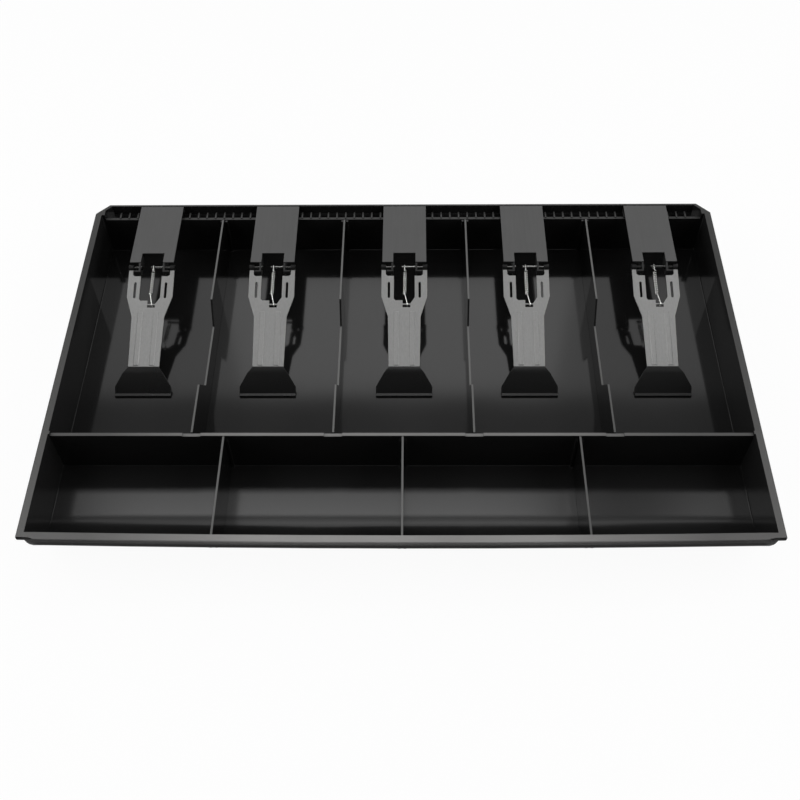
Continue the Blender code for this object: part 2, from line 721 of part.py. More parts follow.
def make_foot():
    """The moulded shoe, in the lever's frame, with a pocket for the lever's tongue."""
    cosine = math.cos(LEVER_TILT)
    sine = math.sin(LEVER_TILT)
    start = STEM_END + FOOT_START_GAP
    rear_y = HINGE_Y - start * cosine
    rear_z = HINGE_Z - start * sine
    shelf_y = rear_y - FOOT_SHELF * cosine
    shelf_z = rear_z - FOOT_SHELF * sine
    front_y = rear_y - FOOT_LENGTH
    low = FLOOR + RESTING_GAP
    side = [
        (rear_y + FOOT_REAR_TOP * sine, rear_z + FOOT_REAR_TOP * cosine),
        (rear_y - FOOT_REAR_BOTTOM * sine, rear_z - FOOT_REAR_BOTTOM * cosine),
        (front_y + FOOT_FLAT, low),
        (front_y, low),
        (front_y, low + TOE_HEIGHT),
        (front_y + TOE_LENGTH, low + TOE_HEIGHT),
        (shelf_y + FOOT_REAR_TOP * sine, shelf_z + FOOT_REAR_TOP * cosine),
    ]
    top = FOOT_TOP_WIDTH / 2
    wide = FOOT_WIDTH / 2
    plan = [
        (-top, rear_y + MERGE),
        (-top, rear_y),
        (-wide, rear_y - FOOT_FLARE),
        (-wide, front_y - MERGE),
        (wide, front_y - MERGE),
        (wide, rear_y - FOOT_FLARE),
        (top, rear_y),
        (top, rear_y + MERGE),
    ]
    foot = make_plate("foot", [side], FOOT_WIDTH + MERGE, ALONG_X)
    mask = make_plate("mask", [plan], 2 * TRAY_HEIGHT, Matrix.Identity(4))
    combine(foot, mask, "INTERSECT")
    soften(foot, FOOT_ROUNDING, 1, 25)

    to_lever = Matrix.Rotation(-LEVER_TILT, 4, "X") @ Matrix.Translation((0, -HINGE_Y, -HINGE_Z))
    foot.data.transform(to_lever)
    pocket_half = TONGUE_WIDTH / 2 + TONGUE_GAP
    pocket_x = (-pocket_half, pocket_half)
    pocket_y = (-STEM_END - TONGUE_LENGTH - TONGUE_GAP, -STEM_END + MERGE)
    pocket_thickness = LEVER_SHEET / 2 + TONGUE_GAP
    pocket_z = (-pocket_thickness, pocket_thickness)
    combine(foot, make_box("pocket", pocket_x, pocket_y, pocket_z), "DIFFERENCE")
    return use_blank(foot)


def make_pin(hand):
    """A hinge pin with its head inside the ear, drawn about the hinge."""
    head_outer = EAR_INSIDE - PIN_GAP
    head_inner = head_outer - PIN_HEAD
    end = ARM_WIDTH / 2 - PIN_END_INSET
    inside_head = (head_inner + head_outer) / 2
    pin = make_rod("pin", PIN_RADIUS, sorted((hand * inside_head, hand * end)), 0.0, 0.0)
    head = make_rod("head", PIN_HEAD_RADIUS, sorted((hand * head_inner, hand * head_outer)), 0.0, 0.0)
    combine(pin, head, "UNION")
    return use_blank(pin)


def make_anchor():
    """The plain rod that holds the rear hook of the spring, drawn about its axis."""
    ends = (-ANCHOR_TIP, EAR_OUTSIDE + ANCHOR_OVERHANG)
    return use_blank(make_rod("anchor", ANCHOR_RADIUS, ends, 0.0, 0.0))


def hook_bar():
    """The middle of the bar that holds the front hook, seen from the anchor."""
    along = HOOK_BAR_START + HOOK_BAR_WIDTH / 2
    bar_y = HINGE_Y - along * math.cos(LEVER_TILT)
    bar_z = HINGE_Z - along * math.sin(LEVER_TILT)
    return ANCHOR_Y - bar_y, ANCHOR_Z - bar_z


def spring_path():
    """The wire's centre line, from the rear hook's end to the front hook's end."""
    reach = math.hypot(*hook_bar())
    points = []
    for step in range(HOOK_STEPS, -1, -1):
        turn = HOOK_TURN * step / HOOK_STEPS
        across = REAR_HOOK_RADIUS * math.sin(turn)
        points.append((0.0, across, REAR_HOOK_RADIUS * math.cos(turn)))

    full_turn = 2 * math.pi / STEPS_A_TURN
    coil_step = COIL_LENGTH / COIL_STEPS
    shares = [step / (EASE_STEPS + 1) for step in range(1, EASE_STEPS + 1)]
    shares += [1.0] * COIL_STEPS
    shares += [step / (EASE_STEPS + 1) for step in range(EASE_STEPS, 0, -1)]
    angle = 0.0
    along = REAR_STRAIGHT
    points.append((0.0, -along, REAR_HOOK_RADIUS))
    for count, share in enumerate(shares):
        angle += full_turn * share
        along += STRAIGHT_STEP * (1 - share) + coil_step * share
        end_radius = REAR_HOOK_RADIUS if count < len(shares) / 2 else FRONT_HOOK_RADIUS
        radius = end_radius * (1 - share) + COIL_RADIUS * share
        points.append((radius * math.sin(angle), -along, radius * math.cos(angle)))

    points.append((0.0, -(along + STRAIGHT_STEP), FRONT_HOOK_RADIUS))
    for step in range(HOOK_STEPS + 1):
        turn = HOOK_TURN * step / HOOK_STEPS
        across = -reach - FRONT_HOOK_RADIUS * math.sin(turn)
        points.append((FRONT_HOOK_SIDE, across, FRONT_HOOK_RADIUS * math.cos(turn)))
    return points


def report_least_gap(points):
    """Prints how near the wire comes to itself, from points set closely along it."""
    corners = np.array(points)
    shares = np.linspace(0, 1, 5)[:-1, None, None]
    fine = corners[:-1] * (1 - shares) + corners[1:] * shares
    fine = fine.transpose(1, 0, 2).reshape(-1, 3)
    steps = np.linalg.norm(np.diff(fine, axis=0), axis=1)
    along = np.concatenate([[0.0], np.cumsum(steps)])
    apart = np.linalg.norm(fine[:, None] - fine[None], axis=2)
    near_along = np.abs(along[:, None] - along[None]) < math.pi * COIL_RADIUS
    apart[near_along] = np.inf
    gap = apart.min() - 2 * WIRE_RADIUS
    print("least gap of the spring to itself:", round(gap / MM, 3), "mm, wanted over", LEAST_GAP / MM)


def make_spring():
    """The extension spring, one unbroken wire drawn from the anchor."""
    points = spring_path()
    report_least_gap(points)
    curve = bpy.data.curves.new("spring", "CURVE")
    curve.dimensions = "3D"
    curve.bevel_depth = WIRE_RADIUS
    curve.bevel_resolution = 1
    curve.use_fill_caps = True
    spline = curve.splines.new("POLY")
    spline.points.add(len(points) - 1)
    for point, place in zip(spline.points, points):
        point.co = (*place, 1.0)
    drawing = keep_blank("spring_drawing", curve)
    mesh = welded_mesh(drawing, Matrix.Identity(4))
    bpy.data.objects.remove(drawing, do_unlink=True)
    return mesh


def build():
    """All the pieces, in their places at rest."""
    black = make_material("black_moulding", (0.012, 0.012, 0.013), 0.28, 0.0)
    plate_grey = make_material("clip_plate_steel", (0.11, 0.11, 0.11), 0.5, 1.0)
    lever_grey = make_material("lever_steel", (0.3, 0.3, 0.3), 0.45, 1.0)
    shoe_black = make_material("shoe_moulding", (0.01, 0.01, 0.01), 0.5, 0.0)
    divider_black = make_material("divider_moulding", (0.012, 0.012, 0.013), 0.3, 0.0)
    spring_steel = make_material("spring_wire", (0.7, 0.7, 0.7), 0.2, 1.0)
    pin_steel = make_material("pin_steel", (0.75, 0.75, 0.75), 0.2, 1.0)

    place_part("tray", make_tray(), black, (0, 0, 0))

    divider = make_bill_divider()
    for number, place in enumerate(BILL_DIVIDER_PLACES, 1):
        place_part(f"bill_divider_{number}", divider, divider_black, (place, 0, 0))
    for number, place in enumerate(COIN_DIVIDER_PLACES, 1):
        divider = make_coin_divider(place)
        place_part(f"coin_divider_{number}", divider, divider_black, (place, 0, 0))

    bracket = make_bracket()
    lever = make_lever()
    foot = make_foot()
    pins = {"left": make_pin(-1), "right": make_pin(1)}
    anchor = make_anchor()
    spring = make_spring()
    back, drop = hook_bar()
    spring_tilt = math.atan2(drop, back)
    at_hinge = (0, HINGE_Y, HINGE_Z)
    at_anchor = (0, ANCHOR_Y, ANCHOR_Z)
    for number, place in enumerate(CLIP_PLACES, 1):
        clip = bpy.data.objects.new(f"clip_{number}", None)
        clip.location = (place, 0, 0)
        parts.objects.link(clip)
        name = f"clip_{number}_"
        place_part(name + "bracket", bracket, plate_grey, (0, 0, 0), parent=clip)
        arm = place_part(name + "lever", lever, lever_grey, at_hinge, (LEVER_TILT, 0, 0), clip)
        place_part(name + "foot", foot, shoe_black, (0, 0, 0), parent=arm)
        for hand, pin in pins.items():
            place_part(name + "pin_" + hand, pin, pin_steel, at_hinge, parent=clip)
        place_part(name + "anchor", anchor, pin_steel, at_anchor, parent=clip)
        place_part(name + "spring", spring, spring_steel, at_anchor, (spring_tilt, 0, 0), clip)
    bpy.context.view_layer.update()


build()
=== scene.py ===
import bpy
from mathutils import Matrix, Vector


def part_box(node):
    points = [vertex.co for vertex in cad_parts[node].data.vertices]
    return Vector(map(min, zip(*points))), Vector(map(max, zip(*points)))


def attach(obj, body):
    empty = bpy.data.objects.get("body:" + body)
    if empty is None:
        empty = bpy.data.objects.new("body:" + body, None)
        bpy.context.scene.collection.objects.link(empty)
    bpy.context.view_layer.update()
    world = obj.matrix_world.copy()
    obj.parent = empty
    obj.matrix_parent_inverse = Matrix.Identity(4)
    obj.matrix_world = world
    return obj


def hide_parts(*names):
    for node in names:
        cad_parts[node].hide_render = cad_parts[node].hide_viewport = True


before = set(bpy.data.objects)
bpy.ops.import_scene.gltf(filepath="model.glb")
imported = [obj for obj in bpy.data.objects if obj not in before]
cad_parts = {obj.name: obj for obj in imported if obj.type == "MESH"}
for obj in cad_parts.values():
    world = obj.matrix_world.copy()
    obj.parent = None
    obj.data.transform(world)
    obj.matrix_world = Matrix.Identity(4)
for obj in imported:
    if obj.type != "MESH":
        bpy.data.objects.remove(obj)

"""Cash drawer insert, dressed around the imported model: rounded edges and finishes for the
moulded tray, its dividers and the steel bill clips, finely wound springs, a pale floor,
soft studio light and the camera."""

import math

import bmesh
import bpy
from mathutils import Matrix, Vector

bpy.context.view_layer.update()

MM = 0.001
CLIPS = 5
BILL_DIVIDERS = 4
COIN_DIVIDERS = 3

# The camera, fitted to the photograph's frame.
CAMERA_PLACE = Vector((6.84, -386.95, 521.51)) * MM
CAMERA_DIP = 0.943379691
CAMERA_YAW = -0.0203249357
CAMERA_ROLL = 0.0169869341
CAMERA_LENS = 47.17
CAMERA_SENSOR = 36.0

# Floor and light.
FLOOR_SIZE = 30000 * MM
FLOOR_DROP = 0.2 * MM
FLOOR_COLOUR = (0.8, 0.8, 0.8)
FLOOR_ROUGHNESS = 0.9
FLOOR_GLOW = 0.95
WALL_LIGHT = 1.0
CEILING_LIGHT = 0.12
WALL_TOP = math.sin(math.radians(22))
CEILING_EDGE = math.sin(math.radians(40))
BENCH_EDGE = -math.sin(math.radians(6))
BENCH_LIGHT = 0.2
FRONT_WALL_LIGHT = 0.12
FRONT_WALL_FROM = -0.75
FRONT_WALL_TO = -0.35
REAR = 1200 * MM
JUST_BEFORE_REAR = 1180 * MM

# Upright soft boxes behind the insert: their place, their width and height, and their glow.
REAR_BOXES = {
    "lowest_rear_box": ((-80 * MM, REAR, 1030 * MM), (1060 * MM, 280 * MM), 1.0),
    "low_rear_box": ((-20 * MM, REAR, 1420 * MM), (1600 * MM, 470 * MM), 0.9),
    "low_rear_core": ((-30 * MM, JUST_BEFORE_REAR, 1400 * MM), (780 * MM, 440 * MM), 0.6),
    "middle_rear_box": ((-20 * MM, REAR, 1835 * MM), (1740 * MM, 320 * MM), 0.14),
    "high_rear_box": ((-280 * MM, REAR, 2170 * MM), (1460 * MM, 340 * MM), 1.95),
    "top_rear_box": ((-280 * MM, REAR, 2550 * MM), (1460 * MM, 420 * MM), 4.1),
    "side_rear_box": ((620 * MM, REAR, 2350 * MM), (360 * MM, 600 * MM), 0.4),
    "far_side_box": ((920 * MM, REAR, 2350 * MM), (220 * MM, 600 * MM), 2.2),
}

# Soft boxes beside and above it: their place, the point they face, their size and their glow.
BESIDE = 800 * MM
BESIDE_SIZE = (700 * MM, 700 * MM)
MIDDLE = (0.0, 0.0, 0.0)
NEAR_BOXES = {
    "left_box": ((-BESIDE, -50 * MM, 600 * MM), MIDDLE, BESIDE_SIZE, 3.2),
    "right_box": ((BESIDE, -50 * MM, 600 * MM), MIDDLE, BESIDE_SIZE, 3.2),
    "overhead_box": ((60 * MM, 100 * MM, 1300 * MM), (60 * MM, 0.0, 0.0), (500 * MM, 550 * MM), 1.25),
}

# Edges and shading.
WELD_WITHIN = 0.002 * MM
FLAT = math.radians(0.1)
SMOOTH_BELOW = math.radians(32)
ROUND_ABOVE = math.radians(34)
MOULDED_EDGE = 0.25 * MM
SHEET_EDGE = 0.2 * MM
SHOE_EDGE = 0.15 * MM
PIN_EDGE = 0.12 * MM
EDGE_STEPS = 2
FLAT_FACE_WEIGHT = 100

# Where the upper faces and the lip's outer face are painted paler as painted light, and where coins
# make the cups rougher. Outside is below and in front of everything.
OUTSIDE = -1000.0 * MM
TOP_FACE_FROM = 0.96
TOP_FACE_TO = 0.998
TOP_FADE = 0.3 * MM
TOPS_REAR = 60.0 * MM
TOPS_FRONT = -126.0 * MM
LIP_BEFORE = -124.0 * MM
LIP_LOW = 30.5 * MM
LIP_PALE_FROM = 36.5 * MM
RIM_PALE_WITHIN = 80.0 * MM
RIM_DARK_FROM = 165.0 * MM
END_SHADE = 0.36
SMUDGE = 0.5
CUPS_BEFORE = -57.0 * MM
BILLS_REAR = 66.0 * MM
UPRIGHT_ABOVE = 0.8
PLASTIC_IOR = 1.5
SIDE_WALL_IOR = 1.15

# Where the lever's sheet keeps its own colour: its broad faces and ribs, in front of its knuckles.
# Elsewhere it is painted dark as painted shade.
FLAT_FACE_FROM = 0.72
FLAT_FACE_TO = 0.92
RIB_FOOT = 0.62 * MM
RIBS_BEFORE = 44.0 * MM
KNUCKLES_FROM = 70.0 * MM
PAINTED_SHADE_COLOUR = (0.008, 0.008, 0.008)

# Grain, lines and scratches: scales in cells a metre, strengths and depths of their bumps.
PLAIN_SPECULAR = 0.5
FINE_DETAIL = 3.0
SLOW_DETAIL = 4.0
EDGE_SAMPLES = 4
EDGE_GAIN = 6.0
PLASTIC_GRAIN = 1400.0
PLASTIC_CLOUDS = 11.0
PLASTIC_BREAKS = 260.0
PLASTIC_PALER = 1.7
PLASTIC_BUMP = 0.35
GRAIN_DEPTH = 0.003 * MM
SHEET_GRAIN = 1800.0
SHEET_CLOUDS = 60.0
SHEET_SPREAD = 0.16
SHEET_LINES = 1500.0
LINE_STRETCH = 0.03
CUT_EDGE_WIDTH = 0.3 * MM
CUT_EDGE_WEAR = 0.5
CUT_EDGE_BREAKS = 500.0
SHEET_PALER = 1.35
LINE_BUMP = 0.3
LINE_DEPTH = 0.01 * MM
WIRE_GRAIN = 2600.0
WIRE_CLOUDS = 300.0
WIRE_SPREAD = 0.2
WIRE_DULLER = 0.6
SCRATCH_BUMP = 0.2
SCRATCH_DEPTH = 0.01 * MM

# The Mix node's sockets for colours.
MIX_SHARE = 0
MIX_FIRST = 6
MIX_SECOND = 7
MIX_RESULT = 2

# The spring's wire, as its solid has it but wound with finer steps, from the rod to the lever.
HINGE_Y = 72.2 * MM
HINGE_Z = 31.7 * MM
ANCHOR_Y = 74.8 * MM
ANCHOR_Z = 29.3 * MM
LEVER_TILT = math.radians(17.3)
HOOK_BAR_ALONG = 25.6 * MM
WIRE_RADIUS = 0.31 * MM
COIL_RADIUS = 1.05 * MM
COIL_TURNS = 12.0
COIL_START = 3.6 * MM
COIL_LENGTH = 16.6 * MM
HOOK_RADIUS = 1.42 * MM
FRONT_HOOK_SIDE = 1.6 * MM
HOOK_TURN = math.radians(235)
STEPS_A_TURN = 24
HOOK_STEPS = 20
EASE_STEPS = 14


def new_tree(kind, name, inputs, outputs):
    """A node group with the inputs and outputs named, and its two end nodes."""
    tree = bpy.data.node_groups.new(name, kind)
    for label, socket, value in inputs:
        made = tree.interface.new_socket(label, in_out="INPUT", socket_type=socket)
        if value is not None:
            made.default_value = value
    for label, socket in outputs:
        tree.interface.new_socket(label, in_out="OUTPUT", socket_type=socket)
    return tree, tree.nodes.new("NodeGroupInput"), tree.nodes.new("NodeGroupOutput")


def add_math(tree, how, first, second):
    """A Math node: each input is a socket to link or a number."""
    node = tree.nodes.new("ShaderNodeMath")
    node.operation = how
    for place, value in enumerate((first, second)):
        if isinstance(value, (int, float)):
            node.inputs[place].default_value = value
        else:
            tree.links.new(value, node.inputs[place])
    return node.outputs[0]


def add_noise(tree, vector, scale, detail):
    """A noise texture whose scale is a socket or a number."""
    node = tree.nodes.new("ShaderNodeTexNoise")
    node.inputs["Detail"].default_value = detail
    tree.links.new(vector, node.inputs["Vector"])
    if isinstance(scale, (int, float)):
        node.inputs["Scale"].default_value = scale
    else:
        tree.links.new(scale, node.inputs["Scale"])
    return node.outputs["Fac"]


def make_smoothing():
    """Geometry nodes that shade a faceted solid smoothly, apart from its real edges, and mark
    the edges that stand out, which are the ones to round."""
    tree, start, end = new_tree(
        "GeometryNodeTree",
        "smooth_facets",
        [("Geometry", "NodeSocketGeometry", None)],
        [("Geometry", "NodeSocketGeometry")],
    )
    clean = tree.nodes.new("GeometryNodeRemoveAttribute")
    clean.inputs["Name"].default_value = "custom_normal"
    edge_angle = tree.nodes.new("GeometryNodeInputMeshEdgeAngle")
    compare = tree.nodes.new("FunctionNodeCompare")
    compare.operation = "GREATER_THAN"
    compare.inputs["B"].default_value = SMOOTH_BELOW
    faces = tree.nodes.new("GeometryNodeSetShadeSmooth")
    faces.domain = "FACE"
    all_edges = tree.nodes.new("GeometryNodeSetShadeSmooth")
    all_edges.domain = "EDGE"
    sharp = tree.nodes.new("GeometryNodeSetShadeSmooth")
    sharp.domain = "EDGE"
    sharp.inputs["Shade Smooth"].default_value = False
    link = tree.links.new
    link(start.outputs["Geometry"], clean.inputs["Geometry"])
    link(clean.outputs["Geometry"], faces.inputs["Geometry"])
    link(faces.outputs["Geometry"], all_edges.inputs["Geometry"])
    link(all_edges.outputs["Geometry"], sharp.inputs["Geometry"])
    link(edge_angle.outputs["Unsigned Angle"], compare.inputs["A"])
    link(compare.outputs["Result"], sharp.inputs["Selection"])
    outward = tree.nodes.new("FunctionNodeCompare")
    outward.operation = "LESS_THAN"
    outward.inputs["B"].default_value = -ROUND_ABOVE
    marks = tree.nodes.new("GeometryNodeStoreNamedAttribute")
    marks.data_type = "FLOAT"
    marks.domain = "EDGE"
    marks.inputs["Name"].default_value = "bevel_weight_edge"
    link(edge_angle.outputs["Signed Angle"], outward.inputs["A"])
    link(outward.outputs["Result"], marks.inputs["Value"])
    link(sharp.outputs["Geometry"], marks.inputs["Geometry"])
    link(marks.outputs["Geometry"], end.inputs["Geometry"])
    return tree


def make_grain_group():
    """Fine grain with a slow unevenness: a height for bump and a roughness, which is higher in
    front of a line where coins scuff the surface."""
    tree, start, end = new_tree(
        "ShaderNodeTree",
        "moulded_grain",
        [
            ("Grain Scale", "NodeSocketFloat", PLASTIC_GRAIN),
            ("Cloud Scale", "NodeSocketFloat", PLASTIC_CLOUDS),
            ("Roughness", "NodeSocketFloat", None),
            ("Spread", "NodeSocketFloat", None),
            ("Scuff", "NodeSocketFloat", 0.0),
            ("Scuffed Before", "NodeSocketFloat", OUTSIDE),
        ],
        [
            ("Height", "NodeSocketFloat"),
            ("Roughness", "NodeSocketFloat"),
            ("Clouds", "NodeSocketFloat"),
        ],
    )
    place = tree.nodes.new("ShaderNodeTexCoord").outputs["Object"]
    grain = add_noise(tree, place, start.outputs["Grain Scale"], FINE_DETAIL)
    clouds = add_noise(tree, place, start.outputs["Cloud Scale"], SLOW_DETAIL)
    swing = add_math(tree, "SUBTRACT", clouds, 0.5)
    uneven = add_math(tree, "MULTIPLY", swing, start.outputs["Spread"])
    rough = add_math(tree, "ADD", start.outputs["Roughness"], uneven)
    split = tree.nodes.new("ShaderNodeSeparateXYZ")
    tree.links.new(place, split.inputs["Vector"])
    used = add_math(tree, "LESS_THAN", split.outputs["Y"], start.outputs["Scuffed Before"])
    rough = add_math(tree, "ADD", rough, add_math(tree, "MULTIPLY", used, start.outputs["Scuff"]))
    link = tree.links.new
    link(grain, end.inputs["Height"])
    link(rough, end.inputs["Roughness"])
    link(clouds, end.inputs["Clouds"])
    return tree


def make_edge_group():
    """A mask that is bright along edges, broken up by noise as handling wears them."""
    tree, start, end = new_tree(
        "ShaderNodeTree",
        "edge_wear",
        [
            ("Width", "NodeSocketFloat", CUT_EDGE_WIDTH),
            ("Amount", "NodeSocketFloat", CUT_EDGE_WEAR),
            ("Break Scale", "NodeSocketFloat", CUT_EDGE_BREAKS),
            ("Above", "NodeSocketFloat", OUTSIDE),
        ],
        [("Mask", "NodeSocketFloat")],
    )
    bevel = tree.nodes.new("ShaderNodeBevel")
    bevel.samples = EDGE_SAMPLES
    shape = tree.nodes.new("ShaderNodeNewGeometry")
    dot = tree.nodes.new("ShaderNodeVectorMath")
    dot.operation = "DOT_PRODUCT"
    link = tree.links.new
    link(start.outputs["Width"], bevel.inputs["Radius"])
    link(bevel.outputs["Normal"], dot.inputs[0])
    link(shape.outputs["Normal"], dot.inputs[1])
    away = add_math(tree, "SUBTRACT", 1.0, dot.outputs["Value"])
    lifted = add_math(tree, "MULTIPLY", away, EDGE_GAIN)
    place = tree.nodes.new("ShaderNodeTexCoord").outputs["Object"]
    noise = add_noise(tree, place, start.outputs["Break Scale"], FINE_DETAIL)
    broken = add_math(tree, "MULTIPLY", lifted, noise)
    worn = add_math(tree, "MULTIPLY", broken, start.outputs["Amount"])
    height = tree.nodes.new("ShaderNodeSeparateXYZ")
    link(place, height.inputs["Vector"])
    handled = add_math(tree, "GREATER_THAN", height.outputs["Z"], start.outputs["Above"])
    worn = add_math(tree, "MULTIPLY", worn, handled)
    mask = tree.nodes.new("ShaderNodeClamp")
    link(worn, mask.inputs["Value"])
    link(mask.outputs["Result"], end.inputs["Mask"])
    return tree


def make_drawn_group():
    """Long fine lines along Y, as rolled sheet steel has, as a height that is also a mask."""
    tree, start, end = new_tree(
        "ShaderNodeTree",
        "rolled_lines",
        [
            ("Scale", "NodeSocketFloat", SHEET_LINES),
            ("Stretch", "NodeSocketFloat", LINE_STRETCH),
        ],
        [("Lines", "NodeSocketFloat")],
    )
    place = tree.nodes.new("ShaderNodeTexCoord").outputs["Object"]
    across = tree.nodes.new("ShaderNodeCombineXYZ")
    across.inputs["X"].default_value = 1.0
    across.inputs["Z"].default_value = 1.0
    stretched = tree.nodes.new("ShaderNodeVectorMath")
    stretched.operation = "MULTIPLY"
    link = tree.links.new
    link(start.outputs["Stretch"], across.inputs["Y"])
    link(place, stretched.inputs[0])
    link(across.outputs["Vector"], stretched.inputs[1])
    lines = add_noise(tree, stretched.outputs["Vector"], start.outputs["Scale"], SLOW_DETAIL)
    link(lines, end.inputs["Lines"])
    return tree


def make_top_group():
    """Masks for the faces that look up above a height, which rises to the front by Front Rise,
    with the lip's outer face, for how far forward they lie and for how far from the middle. They
    place painted light and painted shade."""
    tree, start, end = new_tree(
        "ShaderNodeTree",
        "light_and_shade_masks",
        [
            ("From", "NodeSocketFloat", None),
            ("To", "NodeSocketFloat", None),
            ("Front Rise", "NodeSocketFloat", 0.0),
            ("Lip Before", "NodeSocketFloat", OUTSIDE),
        ],
        [
            ("Top", "NodeSocketFloat"),
            ("Forward", "NodeSocketFloat"),
            ("Middle", "NodeSocketFloat"),
        ],
    )
    place = tree.nodes.new("ShaderNodeTexCoord").outputs["Object"]
    split = tree.nodes.new("ShaderNodeSeparateXYZ")
    rise = tree.nodes.new("ShaderNodeMapRange")
    forward = tree.nodes.new("ShaderNodeMapRange")
    facing = tree.nodes.new("ShaderNodeSeparateXYZ")
    level = tree.nodes.new("ShaderNodeMapRange")
    level.inputs["From Min"].default_value = TOP_FACE_FROM
    level.inputs["From Max"].default_value = TOP_FACE_TO
    link = tree.links.new
    link(place, split.inputs["Vector"])
    link(tree.nodes.new("ShaderNodeNewGeometry").outputs["Normal"], facing.inputs["Vector"])
    link(facing.outputs["Z"], level.inputs["Value"])
    link(split.outputs["Z"], rise.inputs["Value"])
    link(split.outputs["Y"], forward.inputs["Value"])
    higher = add_math(tree, "MULTIPLY", forward.outputs["Result"], start.outputs["Front Rise"])
    link(add_math(tree, "ADD", start.outputs["From"], higher), rise.inputs["From Min"])
    link(add_math(tree, "ADD", start.outputs["To"], higher), rise.inputs["From Max"])
    forward.inputs["From Min"].default_value = TOPS_REAR
    forward.inputs["From Max"].default_value = TOPS_FRONT
    top = add_math(tree, "MULTIPLY", rise.outputs["Result"], level.outputs["Result"])
    # The lip's outer face is painted paler higher up, as painted light.
    on_lip = add_math(tree, "LESS_THAN", split.outputs["Y"], start.outputs["Lip Before"])
    height = tree.nodes.new("ShaderNodeMapRange")
    link(split.outputs["Z"], height.inputs["Value"])
    height.inputs["From Min"].default_value = LIP_LOW
    height.inputs["From Max"].default_value = LIP_PALE_FROM
    outer = add_math(tree, "MULTIPLY", on_lip, height.outputs["Result"])
    link(add_math(tree, "MAXIMUM", top, outer), end.inputs["Top"])
    link(forward.outputs["Result"], end.inputs["Forward"])
    # Towards the ends the rim is painted darker, as painted shade.
    sideways = tree.nodes.new("ShaderNodeMapRange")
    sideways.inputs["From Min"].default_value = RIM_PALE_WITHIN
    sideways.inputs["From Max"].default_value = RIM_DARK_FROM
    sideways.inputs["To Min"].default_value = 1.0
    sideways.inputs["To Max"].default_value = 0.0
    link(add_math(tree, "ABSOLUTE", split.outputs["X"], 0.0), sideways.inputs["Value"])
    link(sideways.outputs["Result"], end.inputs["Middle"])
    return tree


def make_flat_group():
    """A mask for the lever's two broad faces and its ribs, wherever the lever is turned to. The
    knuckles at its hinge are left out."""
    tree, start, end = new_tree("ShaderNodeTree", "broad_faces", [], [("Mask", "NodeSocketFloat")])
    facing = tree.nodes.new("ShaderNodeSeparateXYZ")
    level = tree.nodes.new("ShaderNodeMapRange")
    level.inputs["From Min"].default_value = FLAT_FACE_FROM
    level.inputs["From Max"].default_value = FLAT_FACE_TO
    where = tree.nodes.new("ShaderNodeTexCoord")
    place = tree.nodes.new("ShaderNodeSeparateXYZ")
    tree.links.new(where.outputs["Object"], place.inputs["Vector"])
    tree.links.new(where.outputs["Normal"], facing.inputs["Vector"])
    tree.links.new(add_math(tree, "ABSOLUTE", facing.outputs["Z"], 0.0), level.inputs["Value"])
    ahead = add_math(tree, "SUBTRACT", HINGE_Y, place.outputs["Y"])
    higher = add_math(tree, "SUBTRACT", place.outputs["Z"], HINGE_Z)
    above_ahead = add_math(tree, "MULTIPLY", ahead, math.sin(LEVER_TILT))
    above_higher = add_math(tree, "MULTIPLY", higher, math.cos(LEVER_TILT))
    above = add_math(tree, "ADD", above_ahead, above_higher)
    on_rib = add_math(tree, "GREATER_THAN", above, RIB_FOOT)
    on_stem = add_math(tree, "LESS_THAN", place.outputs["Y"], RIBS_BEFORE)
    raised = add_math(tree, "MULTIPLY", on_rib, on_stem)
    broad = add_math(tree, "MAXIMUM", level.outputs["Result"], raised)
    before_hinge = add_math(tree, "LESS_THAN", place.outputs["Y"], KNUCKLES_FROM)
    tree.links.new(add_math(tree, "MULTIPLY", broad, before_hinge), end.inputs["Mask"])
    return tree


GROUPS = {
    "flat": make_flat_group(),
    "top": make_top_group(),
    "grain": make_grain_group(),
    "edge": make_edge_group(),
    "drawn": make_drawn_group(),
}
SMOOTHING = make_smoothing()


def shade(colour, share):
    """A colour made darker or paler by a share, up to white."""
    return tuple(min(1.0, share * value) for value in colour)


class Finish:
    """A material built on one Principled shader, with helpers for its nodes."""

    def __init__(self, name, metallic, specular=PLAIN_SPECULAR):
        self.material = bpy.data.materials.new(name)
        self.material.use_nodes = True
        self.tree = self.material.node_tree
        self.shader = self.tree.nodes["Principled BSDF"]
        self.shader.inputs["Metallic"].default_value = metallic
        self.shader.inputs["Specular IOR Level"].default_value = specular

    def group(self, kind, **values):
        """One of the shared groups, with this material's own values."""
        node = self.tree.nodes.new("ShaderNodeGroup")
        node.node_tree = GROUPS[kind]
        for label, value in values.items():
            node.inputs[label.replace("_", " ")].default_value = value
        return node

    def mix_colour(self, share, first, second):
        """Two colours mixed by a share: each of the three is a value or a socket."""
        node = self.tree.nodes.new("ShaderNodeMix")
        node.data_type = "RGBA"
        for place, value in ((MIX_SHARE, share), (MIX_FIRST, first), (MIX_SECOND, second)):
            if isinstance(value, (tuple, float)):
                colour = (*value, 1.0) if isinstance(value, tuple) else value
                node.inputs[place].default_value = colour
            else:
                self.tree.links.new(value, node.inputs[place])
        return node.outputs[MIX_RESULT]

    def bump(self, height, strength, distance):
        """A normal from a height."""
        node = self.tree.nodes.new("ShaderNodeBump")
        node.inputs["Strength"].default_value = strength
        node.inputs["Distance"].default_value = distance
        self.tree.links.new(height, node.inputs["Height"])
        return node.outputs["Normal"]

    def feed(self, label, socket):
        """Links a socket to the shader's input."""
        self.tree.links.new(socket, self.shader.inputs[label])


